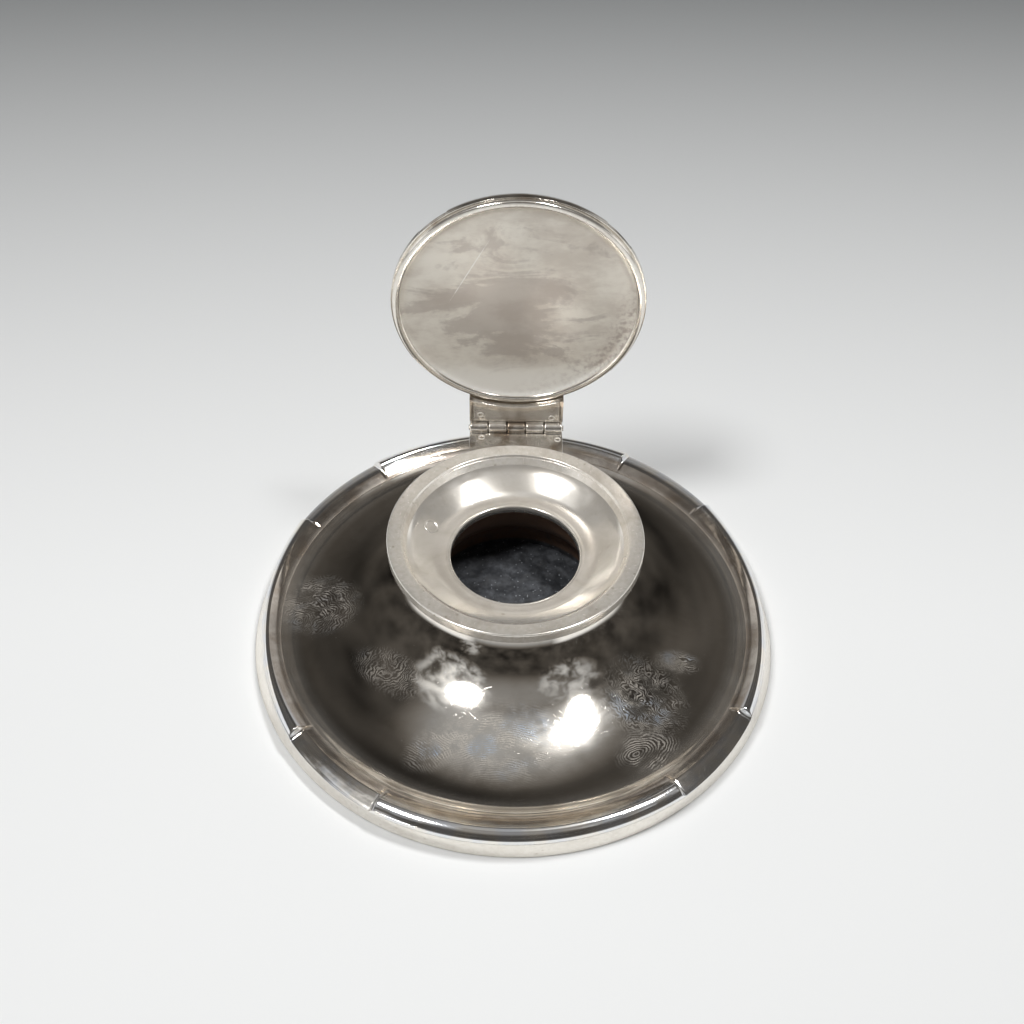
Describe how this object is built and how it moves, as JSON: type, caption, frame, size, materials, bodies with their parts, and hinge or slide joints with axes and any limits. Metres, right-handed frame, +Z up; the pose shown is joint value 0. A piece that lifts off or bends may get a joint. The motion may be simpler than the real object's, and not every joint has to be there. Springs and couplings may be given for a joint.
{
  "type": "inkstand",
  "caption": "Round capstan inkstand: wide spun foot with a shaped border, waisted neck, dished head with a liner hole, and a hinged round lid",
  "frame": {"origin": "middle of the underside, on the table", "axes": "+Z up along the axis of the foot, neck and dish; the hinge is towards +Y and the front towards -Y; +X to the right of someone who looks from the front"},
  "size_m": [0.15, 0.15, 0.1182],
  "materials": {
    "silver": "polished, lightly worn",
    "worn_silver": "polished, with fine scratches and finger marks",
    "tarnished_silver": "satin, mottled warm grey tarnish",
    "hinge_silver": "satin, tarnished in the joints",
    "filling": "matt, lumpy cast pitch",
    "board": "plain sawn board",
    "baize": "matt felted cloth"
  },
  "bodies": {
    "stand": {"baize_pad": "baize", "base_board": "board", "base_filling": "filling", "base_band": "silver", "foot_shell": "worn_silver", "foot_border": "silver", "dish_pan": "tarnished_silver", "dish_lip": "silver", "dish_plug": "tarnished_silver", "hinge_bracket": "silver", "hinge_leaf": "hinge_silver", "hinge_leaf_rivets": "hinge_silver", "hinge_pin": "hinge_silver"},
    "lid": {"lid_cap": "silver", "lid_border": "silver", "lid_lining": "tarnished_silver", "lid_bezel": "silver", "lid_bracket": "silver", "lid_leaf": "hinge_silver", "lid_leaf_rivets": "hinge_silver"}
  },
  "joints": [
    {"name": "lid_hinge", "type": "hinge", "parent": "stand", "child": "lid", "pos_m": [0, 0.0432, 0.0402], "axis": [1, 0, 0], "range_deg": [0, 90]}
  ]
}
